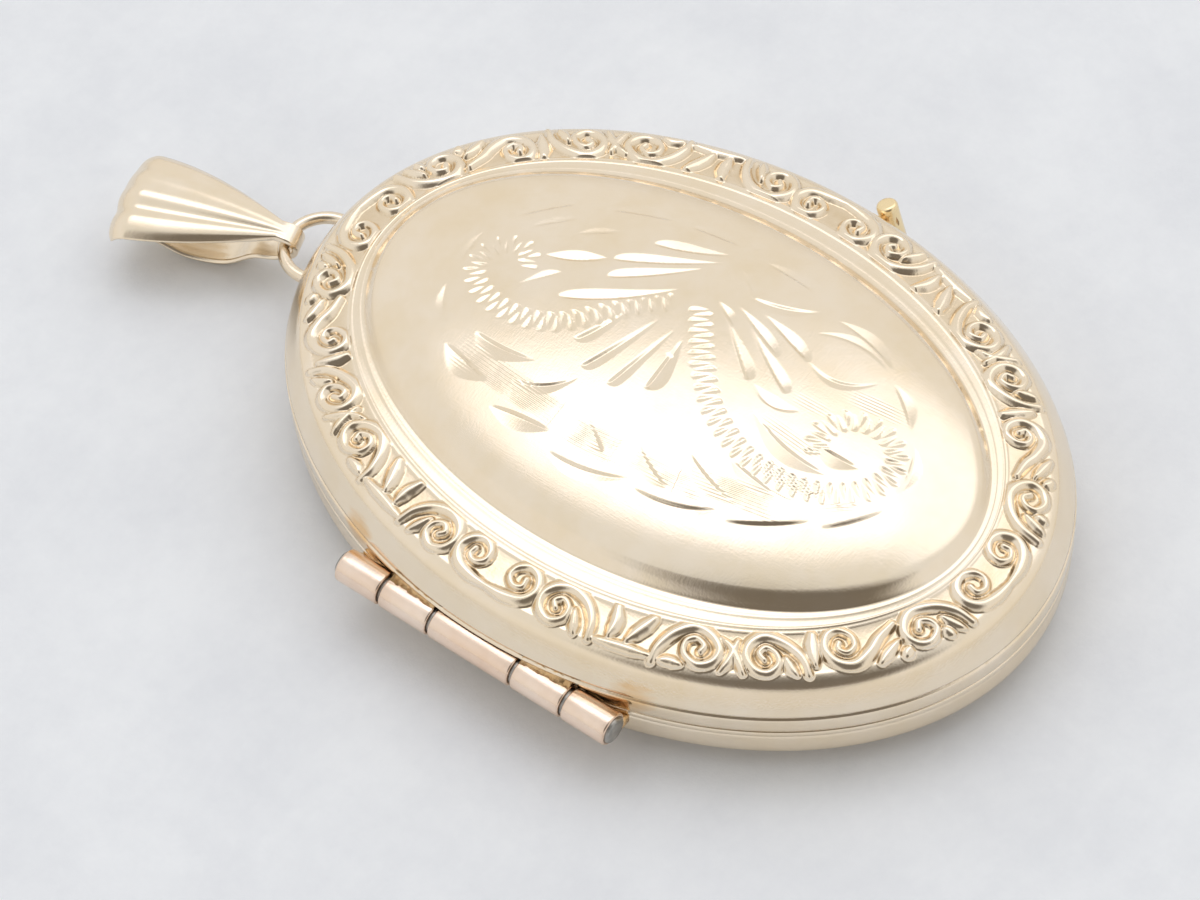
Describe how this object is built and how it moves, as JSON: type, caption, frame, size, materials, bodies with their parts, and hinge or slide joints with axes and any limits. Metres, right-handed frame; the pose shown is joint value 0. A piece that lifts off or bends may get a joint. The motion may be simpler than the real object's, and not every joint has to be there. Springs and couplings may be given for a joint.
{
  "type": "locket pendant",
  "caption": "Oval hinged photo locket: embossed scroll border, engraved domed front, plain back, round-wire bow and fluted swinging bail.",
  "frame": {"origin": "middle of the flat back panel, which the locket rests on", "axes": "+Z out of the decorated front, +Y along the case to the bow and bail, -X to the hinge, +X to the thumb pin"},
  "size_m": [0.0302, 0.0489, 0.0082],
  "materials": {
    "yellow_gold": "polished pale yellow gold with fine wear scratches",
    "rose_gold": "polished rose-toned gold tube",
    "pin_steel": "drawn steel wire, filed ends",
    "photo_card": "blank matte photo paper",
    "clear_window": "clear thin sheet"
  },
  "bodies": {
    "back_case": {"back_cover": "yellow_gold", "back_rim": "yellow_gold", "back_photo_card": "photo_card", "back_window": "clear_window", "back_photo_frame": "yellow_gold", "hinge_knuckle_back_upper": "rose_gold", "hinge_knuckle_back_middle": "rose_gold", "hinge_knuckle_back_lower": "rose_gold", "hinge_pin": "pin_steel", "case_bow": "yellow_gold"},
    "front_case": {"front_cover": "yellow_gold", "front_rim": "yellow_gold", "front_photo_card": "photo_card", "front_window": "clear_window", "front_photo_frame": "yellow_gold", "hinge_knuckle_front_upper": "rose_gold", "hinge_knuckle_front_lower": "rose_gold", "thumb_pin": "yellow_gold"},
    "bail": {"bail": "yellow_gold"}
  },
  "joints": [
    {"name": "cover_hinge", "type": "hinge", "parent": "back_case", "child": "front_case", "pos_m": [-0.0142, 0, 0.003], "axis": [0, -1, 0], "range_deg": [0, 165]},
    {"name": "bail_swing", "type": "hinge", "parent": "back_case", "child": "bail", "pos_m": [-0.0013, 0.0214, 0.0021], "axis": [0.9455, 0.3256, 0], "range_deg": [-75, 105]}
  ]
}
